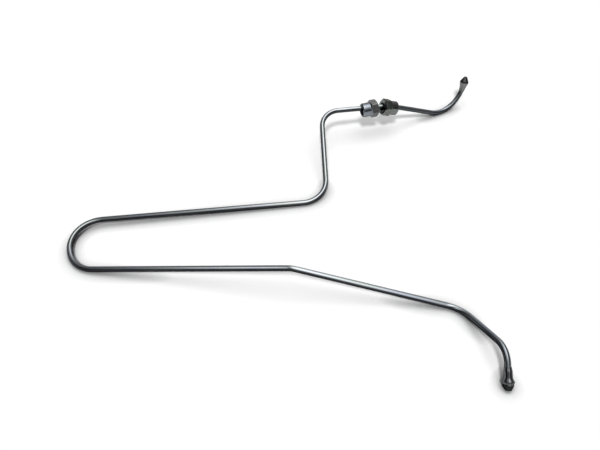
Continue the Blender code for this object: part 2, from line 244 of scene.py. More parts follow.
pipeRoute = {
    "tubeRadius": 3.0,
    "boreRadius": 1.0,
    "corners": [  # place of each corner of the centreline and the radius that rounds it
        (231.0, 214.0, 39.5, 0.0),  # upper tip
        (220.5, 195.5, -10.0, 38.0),
        (124.5, 154.0, 36.5, 40.0),  # between the nuts
        (39.0, 134.0, 42.0, 25.0),
        (44.0, 20.0, 2.5, 30.0),
        (-240.5, -20.5, 9.5, 32.0),
        (-221.0, -79.0, 1.5, 32.0),
        (4.5, -102.5, 32.5, 25.0),
        (169.5, -127.5, 1.0, 25.0),
        (194.9, -186.0, 24.0, 22.0),
        (195.0, -215.0, 2.1, 0.0),  # lower tip
    ],
    "straightStep": 4.0,
    "bendStep": 1.0,
    "boreStep": 3.0,
    "headGap": 1.0,  # between the rows of a head and the next rows of the tube or the bore
    "columns": 64,
    "bendFlattening": 0.03,  # share of the radius lost on the outside of a bend
}


def layRoute(corners):
    # Straight runs and arcs in order. Each run has its start, its heading there, the way it
    # curves (inward), its bend radius (0 on a straight run) and its length.
    corners = np.array(corners)
    points = corners[:, :3]
    runs = []
    start = points[0]
    for index in range(1, len(points) - 1):
        radius = corners[index, 3]
        heading = unit(points[index] - points[index - 1])
        leaving = unit(points[index + 1] - points[index])
        turn = math.acos(heading @ leaving)
        reach = radius * math.tan(turn / 2)
        enter = points[index] - heading * reach
        inward = unit(leaving - heading * (leaving @ heading))
        runs.append((start, heading, 0 * heading, 0.0, np.linalg.norm(enter - start)))
        runs.append((enter, heading, inward, radius, radius * turn))
        start = points[index] + leaving * reach
    lastWay = points[-1] - start
    runs.append((start, unit(lastWay), 0 * lastWay, 0.0, np.linalg.norm(lastWay)))
    return runs


def alongRoute(runs, distances):
    # Straight: start + heading*d. Arc: start + radius*(heading*sin(d/radius) + inward*(1 - cos(d/radius))).
    places = np.zeros((len(distances), 3))
    headings = np.zeros((len(distances), 3))
    inwards = np.zeros((len(distances), 3))
    travelled = 0.0
    for start, heading, inward, radius, length in runs:
        here = distances >= travelled - 1e-9  # later runs write over what lies past this one
        d = (distances[here] - travelled)[:, None]
        if radius:
            angle = d / radius
            places[here] = start + radius * (heading * np.sin(angle) + inward * (1 - np.cos(angle)))
            headings[here] = heading * np.cos(angle) + inward * np.sin(angle)
            inwards[here] = inward * np.cos(angle) - heading * np.sin(angle)
        else:
            places[here] = start + heading * d
            headings[here] = heading
            inwards[here] = 0.0
        travelled += length
    return places, headings, inwards


def routeRows(runs):  # distances of the rows along the outside, finer in the bends
    rows = []
    travelled = 0.0
    for *_, radius, length in runs:
        step = pipeRoute["bendStep"] if radius else pipeRoute["straightStep"]
        rows.append(spread(travelled, travelled + length, step))
        travelled += length
    return np.concatenate(rows), travelled


# Both heads of the pipe

pipeHeads = {
    "coneHalfAngle": 30.0,  # degrees
    "tipRound": 0.5,
    "tipSteps": 7,
    "shoulderRound": 3.0,
    "shoulderSteps": 9,
    "boreChamfer": 0.2,
    "edgeRound": 0.15,
    "upper": {"faceRadius": 1.6, "baseRadius": 5.5, "land": 1.1},
    "lower": {"faceRadius": 2.1, "baseRadius": 4.7, "land": 2.0},
    "neckLength": 16.5,
    "neckPower": 2.1,
    "neckSteps": 48,
    "footLength": 1.0,  # tube that belongs to the lower head
    "rowStep": 0.35,
}


def coneRows(head):
    # Rows of (distance from the tip, radius): the bore's edge, a tip rounded by an arc up to
    # the cone's slope, the cone, a second arc back to level, and the land.
    tilt = math.radians(pipeHeads["coneHalfAngle"])
    tipRound, shoulderRound = pipeHeads["tipRound"], pipeHeads["shoulderRound"]
    turn = np.linspace(0.0, math.pi / 2 - tilt, pipeHeads["tipSteps"])
    tip = np.stack((tipRound * (1 - np.cos(turn)), head["faceRadius"] + tipRound * np.sin(turn)), -1)
    back = np.linspace(tilt, 0.0, pipeHeads["shoulderSteps"])
    fall = shoulderRound * (1 - np.cos(back))
    shoulder = np.stack((-shoulderRound * np.sin(back), head["baseRadius"] - fall), -1)
    slopeLength = (shoulder[0, 1] - tip[-1, 1]) / math.tan(tilt)
    shoulder[:, 0] += tip[-1, 0] + slopeLength - shoulder[0, 0]
    boreRadius, chamfer = pipeRoute["boreRadius"], pipeHeads["boreChamfer"]
    mouth = [(chamfer, boreRadius), (0.0, boreRadius + chamfer)]
    return np.concatenate((mouth, tip, shoulder, [(shoulder[-1, 0] + head["land"], head["baseRadius"])]))


def landEnd(end):  # distance from the tip to the back of the land
    return coneRows(pipeHeads[end])[-1, 0]


def softenBack(rows, following):  # the land's back edge is cut by a small radius, then the next rows follow
    edge = filletOutline([rows[-2], rows[-1], following[0]], [0.0, pipeHeads["edgeRound"], 0.0])
    return fillRows(np.concatenate((rows[:-2], edge[:-1], following)), pipeHeads["rowStep"])


def upperHead():  # cone, ring and a trumpet neck whose radius falls as (1 - share)^power
    rows = coneRows(pipeHeads["upper"])
    share = np.linspace(0.0, 1.0, pipeHeads["neckSteps"])[1:]
    flareHeight = pipeHeads["upper"]["baseRadius"] - pipeRoute["tubeRadius"]
    swell = flareHeight * (1 - share) ** pipeHeads["neckPower"]
    neck = np.stack((rows[-1, 0] + pipeHeads["neckLength"] * share, pipeRoute["tubeRadius"] + swell), -1)
    return softenBack(rows, neck)


def lowerHead():  # cone and land, falling at 45 degrees to the tube inside the sleeve
    rows = coneRows(pipeHeads["lower"])
    tubeRadius = pipeRoute["tubeRadius"]
    foot = rows[-1, 0] + pipeHeads["lower"]["baseRadius"] - tubeRadius
    return softenBack(rows, np.array([(foot, tubeRadius), (foot + pipeHeads["footLength"], tubeRadius)]))


def makePipe():
    # The profile runs down the outside from the upper tip and back through the bore, and each of
    # its rows is a ring across the route: place + radius*(side*cos(angle) + top*sin(angle)).
    runs = layRoute(pipeRoute["corners"])
    rows, total = routeRows(runs)
    upper, lower = upperHead(), lowerHead()
    gap = pipeRoute["headGap"]
    middle = rows[(rows > upper[-1, 0] + gap) & (rows < total - lower[-1, 0] - gap)]
    tubeRows = np.stack((middle, np.full(len(middle), pipeRoute["tubeRadius"])), -1)
    lowerEnd = lower[::-1] * [-1, 1] + [total, 0]
    boreStart = pipeHeads["boreChamfer"] + gap
    boreDistances = spread(total - boreStart, boreStart, pipeRoute["boreStep"])
    boreRows = np.stack((boreDistances, np.full(len(boreDistances), pipeRoute["boreRadius"])), -1)
    profile = np.concatenate((upper, tubeRows, lowerEnd, boreRows))

    places, headings, inwards = alongRoute(runs, profile[:, 0])
    sides = unit(np.cross(headings, upward))
    tops = np.cross(sides, headings)
    angles = turnSteps(pipeRoute["columns"])
    spokes = sides[:, None] * np.cos(angles)[:, None] + tops[:, None] * np.sin(angles)[:, None]
    outsideOfBend = np.clip(-(spokes * inwards[:, None]).sum(-1), 0.0, 1.0) ** 2
    radius = profile[:, 1, None] * (1 - pipeRoute["bendFlattening"] * outsideOfBend)
    points = (places[:, None] + spokes * radius[..., None]) * mm

    low, high = (np.array(corner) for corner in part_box("pipe"))
    shift = (low + high) / 2 - (points.min((0, 1)) + points.max((0, 1))) / 2
    shift[2] = low[2] - points[..., 2].min()
    skin = skinLayer(profile[:, :1] + 0 * radius, radius, angles) * mm
    piece = gridSurface("bentPipe", points + shift, {"skin": skin})
    return piece, runs, shift, total


# Finishes of the pipe

tubeLook = {
    "edgeTint": 0.4,
    "shades": [(0.30, (0.41, 0.45, 0.51)), (0.45, (0.46, 0.48, 0.505)),
               (0.58, (0.44, 0.48, 0.465)), (0.72, (0.475, 0.475, 0.48))],
    "drawnGrain": ((2200.0, 2200.0, 14.0), 6.0),  # features per metre across and along, and their detail
    "cloudGrain": ((60.0, 60.0, 22.0), 3.0),
    "fleckGrain": ((1500.0, 1500.0, 500.0), 2.0),
    "streaks": [(0.35, (0.82, 0.82, 0.82)), (0.62, (1.06, 1.06, 1.06))],
    "fleckSpan": (0.60, 0.68),  # where in their noise the flecks begin and are full
    "fleckShade": (0.25, 0.25, 0.25),
    "fleckShare": 0.35,
    "roughness": (0.09, 0.16),
    "relief": (0.25, 0.02),  # strength and depth
    "stretchShades": [  # share of the colour kept, stretch by stretch, at distances from the upper tip
        (35.0, (0.42, 0.43, 0.44)), (75.0, (0.76, 0.78, 0.80)), (140.0, (0.70, 0.72, 0.73)),
        (210.0, (0.95, 0.95, 0.95)), (360.0, (0.80, 0.80, 0.80)), (470.0, (0.46, 0.47, 0.48)),
        (585.0, (0.46, 0.47, 0.48)), (620.0, (0.78, 0.78, 0.79)), (890.0, (0.80, 0.80, 0.82)),
        (1065.0, (0.74, 0.76, 0.79)), (1105.0, (0.56, 0.58, 0.61))],
    "paintedUndersideShades": [  # painted shade on the underside: the share of the colour it keeps
        (0.0, (0.23, 0.23, 0.24)), (130.0, (0.23, 0.23, 0.24)), (165.0, (0.14, 0.14, 0.145)),
        (560.0, (0.14, 0.14, 0.145)), (640.0, (0.085, 0.085, 0.09)), (1100.0, (0.085, 0.085, 0.09))],
    "paintedUndersideHeights": (1.4, 2.1),  # above the tube's middle, where the painted underside shade ends
    "paintedUndersideRagged": 0.3,  # how far its edge wanders up and down
    "neckShade": (0.24, 0.245, 0.24),
    "neckRoughness": 0.5,
    "neckShare": 0.9,  # of the trumpet neck that is dull
    "neckFade": 5.0,
    "gunmetal": [(0.4, (0.045, 0.046, 0.048)), (0.6, (0.016, 0.016, 0.017))],  # upper cone, lower cone
    "gunmetalWear": (2.2, 2.2, 2.1),  # how much lighter its worn clouds are
    "noseRoughness": 0.28,
    "noseFade": 0.3,
    "landHighlightShade": (0.22, 0.225, 0.23),  # painted highlight: a bright ring on top of the lower land
    "landHighlightPlace": (0.5, 0.9, 2.2, 2.8),  # from the land's back towards the tip: fading in, then out
    "landHighlightHeights": (3.6, 4.3),
}


def tubeFinish(total):
    look = tubeLook
    metal, tree, shader = newMetal("brightZincTube", look["edgeTint"])
    height, top = skinAxis(tree, "Z"), skinAxis(tree, "Y")
    along = maths(tree, "DIVIDE", height, total * mm)
    drawn = noise(tree, *look["drawnGrain"])
    clouds = noise(tree, *look["cloudGrain"])
    flecks = noise(tree, *look["fleckGrain"])
    stretchShade, paintedUndersideShade = (ramp(tree, along, [(distance / total, shade) for distance, shade in look[stops]])
                       for stops in ("stretchShades", "paintedUndersideShades"))

    # Streaked and flecked zinc
    colour = multiplyColours(tree, ramp(tree, clouds, look["shades"]), ramp(tree, drawn, look["streaks"]))
    flecked = remap(tree, flecks, *look["fleckSpan"], 0.0, look["fleckShare"])
    colour = blendColours(tree, flecked, colour, look["fleckShade"])
    colour = multiplyColours(tree, colour, stretchShade)
    rough = remapNoise(tree, drawn, *look["roughness"])

    # Dull trumpet neck
    upperBack, lowerBack = landEnd("upper"), total - landEnd("lower")
    neckEnd = upperBack + pipeHeads["neckLength"] * look["neckShare"]
    neck = remapSize(tree, height, neckEnd, neckEnd - look["neckFade"])
    colour = blendColours(tree, neck, colour, look["neckShade"])
    rough = maths(tree, "MAXIMUM", rough, maths(tree, "MULTIPLY", neck, look["neckRoughness"]))

    # Gunmetal cones and lands, with a painted highlight ring on top of the lower land
    nose = maths(tree, "MAXIMUM", remapSize(tree, height, upperBack, upperBack - look["noseFade"]),
                 remapSize(tree, height, lowerBack - look["noseFade"], lowerBack))
    dark = ramp(tree, along, look["gunmetal"])
    dark = blendColours(tree, clouds, dark, multiplyColours(tree, dark, look["gunmetalWear"]))
    fadeIn, full, fadeOut, gone = (lowerBack + place for place in look["landHighlightPlace"])
    # Painted highlight: a bright ring on top of the lower land
    ring = maths(tree, "MULTIPLY", remapSize(tree, height, fadeIn, full),
                 remapSize(tree, height, fadeOut, gone, 1.0, 0.0))
    ring = maths(tree, "MULTIPLY", ring, remapSize(tree, top, *look["landHighlightHeights"]))
    dark = blendColours(tree, ring, dark, look["landHighlightShade"])
    colour = blendColours(tree, nose, colour, dark)
    rough = blendValues(tree, nose, rough, look["noseRoughness"])

    # Painted shade on the underside, with a ragged edge
    wander = remapNoise(tree, clouds, -look["paintedUndersideRagged"] * mm, look["paintedUndersideRagged"] * mm)
    paintedUndersideMask = remapSize(tree, maths(tree, "ADD", top, wander), *look["paintedUndersideHeights"], 1.0, 0.0)
    colour = blendColours(tree, paintedUndersideMask, colour, paintedUndersideShade, "MULTIPLY")
    connectMetal(tree, shader, colour, rough, bump(tree, drawn, *look["relief"]))
    return metal


pipePiece, routeRuns, routeShift, routeLength = makePipe()
pipePiece.data.materials.append(tubeFinish(routeLength))
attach(pipePiece, "pipe")
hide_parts("pipe")
print("pipe made")


# Sleeve behind the lower cone

sleeveForm = {
    "boreRadius": 3.3,
    "socketRadius": 5.0,
    "socketGap": 0.12,
    "radius": 4.0,
    "length": 14.2,
    "lip": 0.8,  # how far it reaches over the land of the cone
    "shoulder": 4.0,
    "rearWall": 0.2,
    "collarRadius": 5.6,
    "collarWidth": 0.9,
    "collarRound": 0.25,
    "frontBevel": 1.0,
    "frontDrop": 0.5,
    "frontRound": 0.12,
    "flare": 3.6,
    "edge": 0.1,
    "curveSteps": 14,
    "rowStep": 0.5,
    "columns": 160,
}


def sleevePlaces():  # distances from the lower tip to the front, both edges of the collar, and the rear
    front = landEnd("lower") - sleeveForm["lip"]
    collarStart = front + sleeveForm["frontBevel"]
    return front, collarStart, collarStart + sleeveForm["collarWidth"], front + sleeveForm["length"]


def makeSleeve():
    # Collar, a flare whose radius sinks with a sine, a plain barrel and a shoulder that eases
    # down with a cosine, then back along the bore and the socket that clears the cone.
    form = sleeveForm
    front, collarStart, collarEnd, rear = sleevePlaces()
    radius, boreRadius, socketRadius = form["radius"], form["boreRadius"], form["socketRadius"]
    collarRadius, edge = form["collarRadius"], form["edge"]
    share = np.linspace(0.0, 1.0, form["curveSteps"])
    sink = (collarRadius - radius) * np.sin(share[1:] * math.pi / 2)
    flare = np.stack((collarEnd + form["flare"] * share[1:], collarRadius - sink), -1)
    ease = (1 - np.cos(share * math.pi)) / 2
    drop = (radius - (boreRadius + form["rearWall"])) * ease
    shoulder = np.stack((rear - form["shoulder"] * (1 - share), radius - drop), -1)
    nose = [(front, socketRadius + edge / 2), (front, collarRadius - form["frontDrop"]),
            (collarStart, collarRadius), (collarEnd, collarRadius), tuple(flare[0])]
    nose = filletOutline(nose, [0.0, form["frontRound"], form["collarRound"], form["collarRound"], 0.0])[:-1]
    socketEnd = landEnd("lower") + form["socketGap"]
    inside = [(rear, boreRadius + edge), (rear - edge, boreRadius),
              (socketEnd + socketRadius - boreRadius, boreRadius),
              (socketEnd, socketRadius), (front + edge / 2, socketRadius)]
    profile = fillRows(np.concatenate((nose, flare, shoulder, inside)), form["rowStep"])
    profile = profile[:, :, None] * mm * np.ones(form["columns"])
    tip, heading, _ = alongRoute(routeRuns, np.array([routeLength]))
    axis = -heading[0]
    return turnedSurface("collaredSleeve", tip[0] * mm + routeShift, axis, unit(np.cross(axis, upward)),
                         profile[:, 0], profile[:, 1], turnSteps(form["columns"]), {})


sleeveLook = {
    "edgeTint": 0.45,
    "shades": [(0.35, (0.10, 0.108, 0.115)), (0.65, (0.135, 0.14, 0.145))],
    "turnedGrain": ((300.0, 300.0, 6000.0), 3.0),  # features per metre across and along, and their detail
    "cloudGrain": ((200.0, 200.0, 200.0), 3.0),
    "roughness": (0.10, 0.18),
    "relief": (0.2, 0.02),  # strength and depth
    "paintedHighlight": (0.155, 0.155, 0.16),  # painted highlight on top of the rear shoulder and of the flare
    "paintedHighlightHeights": (2.6, 3.6),
    "flareRise": 0.4,
    "flareFade": (0.8, 0.4),  # shares of the flare where its painted highlight has gone and is still full
    "shoulderRise": (-0.6, 0.9),  # round the start of the rear shoulder
}


def sleeveFinish():
    look, form = sleeveLook, sleeveForm
    metal, tree, shader = newMetal("brightZincSleeve", look["edgeTint"])
    turned = noise(tree, *look["turnedGrain"])
    clouds = noise(tree, *look["cloudGrain"])
    height, top = skinAxis(tree, "Z"), skinAxis(tree, "Y")
    _, _, flareStart, rear = sleevePlaces()
    shoulderStart = rear - form["shoulder"]
    fade = (flareStart + share * form["flare"] for share in look["flareFade"])
    rise = (shoulderStart + place for place in look["shoulderRise"])
    flare = maths(tree, "MULTIPLY", remapSize(tree, height, flareStart, flareStart + look["flareRise"]),
                  remapSize(tree, height, *fade))
    shoulder = remapSize(tree, height, *rise)
    # Painted highlight: a paler colour on top of the rear shoulder and of the flare
    sleeveHighlight = maths(tree, "MULTIPLY", maths(tree, "MAXIMUM", shoulder, flare),
                   remapSize(tree, top, *look["paintedHighlightHeights"]))
    colour = blendColours(tree, sleeveHighlight, ramp(tree, clouds, look["shades"]), look["paintedHighlight"])
    connectMetal(tree, shader, colour, remapNoise(tree, turned, *look["roughness"]),
                 bump(tree, turned, *look["relief"]))
    return metal


sleevePiece = makeSleeve()
sleevePiece.data.materials.append(sleeveFinish())
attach(sleevePiece, "pipe")
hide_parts("lower_sleeve")
print("sleeve made")


# Union nuts

nutForm = {
    "acrossFlats": 19.0,
    "cornerRound": 0.6,
    "hexLength": 9.8,
    "chamferInset": 0.75,
    "chamferAngle": 38.0,  # degrees
    "faceEdge": (0.08, 0.06),  # half the width and the depth of the rounded edge of the hexagon's face
    "ridge": (0.12, 0.03),  # length and fall of the soft ridge between a chamfer and the flats
    "ridgeBack": 0.2,  # share of the ridge that lies on the chamfer's side
    "skirtRadius": 8.6,
    "skirtLength": 10.0,
    "skirtChamfer": 1.0,
    "skirtRound": 0.35,
    "skirtStep": 0.9,
    "holeRadius": 4.8,
    "holeChamfer": 0.4,
    "crestRadius": 6.19,
    "threadPitch": 1.5,
    "threadDepth": 0.81,
    "threadLength": 10.6,
    "threadSteps": 14,  # rows to each pitch
    "threadFadeIn": (0.6, 1.8),  # above the seat, where the groove starts and is at its full depth
    "threadFadeOut": (0.7, 0.6),  # length before the mouth in which the groove loses this share of its depth
    "mouthChamfer": 0.25,
    "mouthRound": 0.15,
    "mouthEdge": (0.05, 0.1),  # how far outside the chamfer the end face stops, and the next row's depth
    "mouthShare": 0.6,  # of the chamfer's width that is left in that row
    "seatGap": 0.1,  # between the seat's rows and those of the thread and of the hole's chamfer
    "seatStep": 0.8,
    "paintedLightDepths": (1.0, 5.0),  # below the mouth, where the painted light inside the bore begins and is full
    "wear": {"hole": 0.2, "face": 0.8, "chamfer": 0.15, "ridge": 0.8, "corner": 0.9, "skirt": 0.7},
    "cornerRadii": (10.4, 10.9),  # where the wear of the corners begins and is full
    "skirtWearWidth": 0.25,
    "columns": 240,
    "crowding": 0.09,  # how much the columns crowd together at the six corners
    "turns": {"upper": 42.0, "lower": 57.5},  # degrees from one flat straight up
}


def hexRadius(angles):
    # Distance to a hexagon's side is apothem/cos(a); near a corner it is the far wall of a
    # circle that touches both sides: c*cos(e) + sqrt(round^2 - (c*sin(e))^2).
    apothem, rounding = nutForm["acrossFlats"] / 2, nutForm["cornerRound"]
    sixth = math.pi / 3
    fromFlat = np.abs((angles + sixth / 2) % sixth - sixth / 2)
    fromCorner = sixth / 2 - fromFlat
    centre = (apothem - rounding) / math.cos(sixth / 2)
    touch = math.atan((apothem - rounding) * math.tan(sixth / 2) / apothem)
    underRoot = np.maximum(rounding ** 2 - (centre * np.sin(fromCorner)) ** 2, 0.0)
    corner = centre * np.cos(fromCorner) + np.sqrt(underRoot)
    return np.where(fromFlat < touch, apothem / np.cos(fromFlat), corner)


def threadRows(angles):
    # Rows from the seat to the mouth. The groove is a 60 degree V with flats of 1/4 pitch at
    # the crest and 1/8 pitch at the root, and its middle lies at pitch*(k - angle/turn).
    form = nutForm
    crestFlat, rootFlat = 1 / 4, 1 / 8
    length = form["hexLength"] + form["skirtLength"]
    seatTop, mouth = length - form["threadLength"], length - form["mouthChamfer"]
    height = np.arange(seatTop, mouth - 1e-6, form["threadPitch"] / form["threadSteps"])
    phase = (height[:, None] / form["threadPitch"] + angles / (2 * math.pi)) % 1.0
    wall = (1 - crestFlat) / 2 - np.abs(phase - 0.5)
    groove = np.clip(wall / ((1 - crestFlat - rootFlat) / 2), 0.0, 1.0)
    start, full = form["threadFadeIn"]
    fadeLength, loss = form["threadFadeOut"]
    fade = easeIn(height, height[0] + start, height[0] + full)
    fade = fade * (1 - loss * easeIn(height, height[-1] - fadeLength, height[-1]))
    return height[:, None], form["crestRadius"] + form["threadDepth"] * groove * fade[:, None]


def makeNut(name, joint, turnDegrees):
    # Rows of (distance from the hexagon's face, radius) go from the hole out over the face, the
    # hexagon and the skirt, and back through the mouth, down the thread, the seat and the hole.
    form, worn = nutForm, nutForm["wear"]
    even = turnSteps(form["columns"])
    angles = even + form["crowding"] * np.sin(6 * even)
    hexLength, holeRadius, holeChamfer = form["hexLength"], form["holeRadius"], form["holeChamfer"]
    skirtRadius, skirtChamfer, crestRadius = form["skirtRadius"], form["skirtChamfer"], form["crestRadius"]
    length = hexLength + form["skirtLength"]
    hexagon = hexRadius(angles)
    faceRadius = form["acrossFlats"] / 2 - form["chamferInset"]
    chamferRise = hexagon - faceRadius
    chamferDepth = chamferRise * math.tan(math.radians(form["chamferAngle"]))
    stacks = {"along": [], "radius": [], "wear": [], "milled": [], "inner": []}

    def add(along, radius, wear=0.0, milled=0.0, inner=0.0):
        grids = np.broadcast_arrays(along, radius, wear, milled, inner, angles)
        for stack, rows in zip(stacks.values(), grids):
            stack.append(rows)

    # Hole's edge and the face, up to its rounded edge
    edgeHalf, edgeDepth = form["faceEdge"]
    t = np.linspace(0.0, 1.0, 5)[:, None]
    holeEdge, faceEnd = holeRadius + holeChamfer, faceRadius - edgeHalf
    add(holeChamfer * (1 - t), holeRadius + holeChamfer * t, worn["hole"], inner=1 - t)
    add(0.0 * t[1:], holeEdge + (faceEnd - holeEdge) * t[1:])
    bend = np.array([0.3, 0.75, 1.0])[:, None]
    add(edgeDepth * bend ** 2, faceEnd + 2 * edgeHalf * bend, worn["face"])

    # Hexagon between two chamfers, which end in soft ridges
    climb = np.array([0.2, 0.4, 0.6, 0.8, 0.95])[:, None]
    add(climb * chamferDepth, faceRadius + climb * chamferRise, worn["chamfer"])
    ridgeLength, ridgeFall = form["ridge"]
    onto = np.array([0.0, 0.5, 1.0])[:, None]
    ridgeAlong = chamferDepth + ridgeLength * (onto - form["ridgeBack"])
    ridgeRadius = hexagon - ridgeFall * (1 - onto)
    add(ridgeAlong, ridgeRadius, worn["ridge"], milled=onto)
    climb = np.linspace(0.04, 0.96, 14)[:, None]
    add(chamferDepth + climb * (hexLength - 2 * chamferDepth), hexagon,
        worn["corner"] * easeIn(hexagon, *form["cornerRadii"]), milled=1.0)
    add(hexLength - ridgeAlong[::-1], ridgeRadius[::-1], worn["ridge"], milled=onto[::-1])
    climb = np.array([0.95, 0.7, 0.4, 0.1])[:, None]
    add(hexLength - climb * chamferDepth, faceRadius + climb * chamferRise, worn["chamfer"])

    # Skirt and the end face round the mouth
    wider, mouthDepth = form["mouthEdge"]
    skirt = [(hexLength, faceRadius), (hexLength, skirtRadius), (length - skirtChamfer, skirtRadius),
             (length, skirtRadius - skirtChamfer), (length, crestRadius + form["mouthChamfer"] + wider)]
    skirt = filletOutline(skirt, [0.0, form["skirtRound"], form["skirtRound"], form["mouthRound"], 0.0])
    skirt = fillRows(skirt, form["skirtStep"])
    nearEdge = np.exp(-((skirt[:, :1] - (length - skirtChamfer)) / form["skirtWearWidth"]) ** 2)
    add(skirt[:, :1], skirt[:, 1:], worn["skirt"] * nearEdge)

    # Mouth, thread, seat and hole
    threadHeight, threadRadius = (rows[::-1] for rows in threadRows(angles))
    mouthRadius = crestRadius + form["mouthChamfer"] * form["mouthShare"]
    add(length - mouthDepth, np.maximum(threadRadius[:1], mouthRadius))
    add(threadHeight, threadRadius, inner=easeIn(length - threadHeight, *form["paintedLightDepths"]))
    seatTop, gap = length - form["threadLength"], form["seatGap"]
    seatLow = seatTop - (crestRadius - holeRadius)
    seat = [(seatTop - gap, crestRadius - gap), (seatLow, holeRadius), (holeChamfer + gap, holeRadius)]
    seat = fillRows(np.array(seat), form["seatStep"])
    add(seat[:, :1], seat[:, 1:], inner=1.0)

    origin, axis = np.array(joint["pos_m"]), unit(np.array(joint["axis"]))
    up = unit(upward - axis * (upward @ axis))
    aside = np.cross(axis, up)
    aside = -aside if aside[1] > 0 else aside  # towards the front
    turn = math.radians(turnDegrees)
    side = up * math.cos(turn) + aside * math.sin(turn)
    layers = {layer: np.concatenate(rows) for layer, rows in stacks.items()}
    return turnedSurface(name, origin, axis, side, layers.pop("along") * mm, layers.pop("radius") * mm,
                         angles, layers)


nutLook = {
    # mouth: a paler colour inside the bore and the thread, painted light that lifts their shade
    "upper": {"dark": (0.15, 0.165, 0.155), "light": (0.21, 0.22, 0.205), "flats": (0.80, 0.84, 0.80),
              "mouth": (0.30, 0.30, 0.30)},
    "lower": {"dark": (0.185, 0.205, 0.23), "light": (0.26, 0.275, 0.295), "flats": (0.92, 0.86, 0.79),
              "mouth": (0.60, 0.66, 0.76)},
    "bare": (0.36, 0.36, 0.355),
    "bareSpan": (0.35, 0.6),  # where in the fine noise worn places begin and are full
    "edgeTint": 0.45,
    "ringGrain": (4200.0, 3.0),  # turned rings per metre, and their detail
    "strokeGrain": ((2600.0, 2600.0, 120.0), 4.0),  # features per metre across and along, and their detail
    "fineGrain": ((900.0, 900.0, 900.0), 6.0),
    "cloudGrain": ((160.0, 160.0, 120.0), 3.0),
    "strokes": [(0.3, (0.8, 0.8, 0.8)), (0.7, (1.12, 1.12, 1.12))],
    "turnedRoughness": (0.10, 0.18),
    "milledRoughness": (0.26, 0.38),
    "relief": (0.3, 0.02),  # strength and depth of the rings and strokes
    "fineRelief": (0.2, 0.03),
}


def turnedRings(tree):  # noise over distance from the axis plus distance along it, so rings on every face
    flat = addNode(tree, "ShaderNodeVectorMath", {0: layerValue(tree, "skin", "Vector"), 1: (1.0, 1.0, 0.0)},
                   operation="MULTIPLY").outputs[0]
    fromAxis = addNode(tree, "ShaderNodeVectorMath", {0: flat}, operation="LENGTH").outputs["Value"]
    density, detail = nutLook["ringGrain"]
    way = maths(tree, "MULTIPLY", maths(tree, "ADD", fromAxis, skinAxis(tree, "Z")), density)
    place = addNode(tree, "ShaderNodeCombineXYZ", {0: way}).outputs[0]
    inputs = {"Vector": place, "Scale": 1.0, "Detail": detail}
    return addNode(tree, "ShaderNodeTexNoise", inputs).outputs["Fac"]


def nutFinish(name, shades):
    look = nutLook
    metal, tree, shader = newMetal(name, look["edgeTint"])
    rings = turnedRings(tree)
    strokes = noise(tree, *look["strokeGrain"])
    fine = noise(tree, *look["fineGrain"])
    clouds = noise(tree, *look["cloudGrain"])
    milled, inner, worn = (layerValue(tree, layer) for layer in ("milled", "inner", "wear"))

    colour = ramp(tree, clouds, [(0.35, shades["dark"]), (0.65, shades["light"])])
    flats = multiplyColours(tree, colour, shades["flats"])
    flats = multiplyColours(tree, flats, ramp(tree, strokes, look["strokes"]))
    colour = blendColours(tree, milled, colour, flats)
    wornShare = maths(tree, "MULTIPLY", worn, remap(tree, fine, *look["bareSpan"]))
    colour = blendColours(tree, wornShare, colour, look["bare"])
    # Painted light: the paler mouth colour inside the bore, the thread and the hole lifts their shade
    colour = blendColours(tree, inner, colour, shades["mouth"])

    turnedRough = remapNoise(tree, rings, *look["turnedRoughness"])
    milledRough = remapNoise(tree, strokes, *look["milledRoughness"])
    rough = blendValues(tree, milled, turnedRough, milledRough)
    normal = bump(tree, blendValues(tree, milled, rings, strokes), *look["relief"])
    connectMetal(tree, shader, colour, rough, bump(tree, fine, *look["fineRelief"], normal))
    return metal


nutJoints = {joint["child"]: joint for joint in frame["joints"]}
for end in ("upper", "lower"):
    nutPiece = makeNut(end + "UnionNut", nutJoints[end + "_nut"], nutForm["turns"][end])
    nutPiece.data.materials.append(nutFinish(end + "NutPlating", nutLook[end]))
    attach(nutPiece, end + "_nut")
    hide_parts(end + "_union_nut")
    print(end + " nut made")


# White table, lamps and camera

studio = {
    "tableSize": 8.0,  # metres
    "tableColour": (0.93, 0.93, 0.93),
    "tableGlow": 0.06,
    "contactReach": 0.013,  # how near, in metres, a piece darkens the table under it
    "contactFloor": 0.55,  # share of open sky where the table is at its darkest
    "contactShade": (0.40, 0.40, 0.405),
    "contactSamples": 8,
    "suns": {  # where each comes from, its level and its width in degrees
        "topSun": ((0.10, 0.10, 1.0), 0.43, 50.0),
        "frontSun": ((-0.07, -0.69, 1.0), 0.66, 10.0),
    },
    "wallLevels": (0.02, 0.31),  # of the room in front of the table and behind it, where 1 is white
    "curtain": (-0.75, -0.35, 0.38, 1.0),  # two sideways places, and the share of the walls' level at each
    "softboxes": {  # long ones overhead: sideways and lengthwise middle and reach, and level
        "right": ((0.20, 0.25), (0.04, 0.66), 3.3),
        "left": ((-0.388, 0.126), (-0.157, 0.44), 1.8),
    },
    "horizonLevel": 0.85,
    "horizonTop": 0.10,  # sine of the height where the pale horizon has faded out
    "diffuseLevel": 0.05,  # what the room adds on matt things
    "backdropLevel": 1.0,
    "cameraPlace": (0.01202, -0.46627, 0.4832),
    "cameraPitch": 47.0,  # degrees below level
    "lens": 36.0,
    "sensorWidth": 36.0,
    "nearest": 0.01,  # metres, and the camera sees nothing closer
}


def addSun(name, place, level, width):
    # A sun shines along its own -Z, which is tilted and turned to run from its place to the
    # middle of the table. Metal doesn't mirror it.
    lamp = bpy.data.lights.new(name, "SUN")
    lamp.energy = level * math.pi
    lamp.angle = math.radians(width)
    sun = bpy.data.objects.new(name, lamp)
    sun.location = place
    tilt = math.acos(place[2] / math.hypot(*place))
    sun.rotation_euler = (tilt, 0.0, math.atan2(-place[1], -place[0]) - math.pi / 2)
    sun.visible_glossy = False
    bpy.context.scene.collection.objects.link(sun)


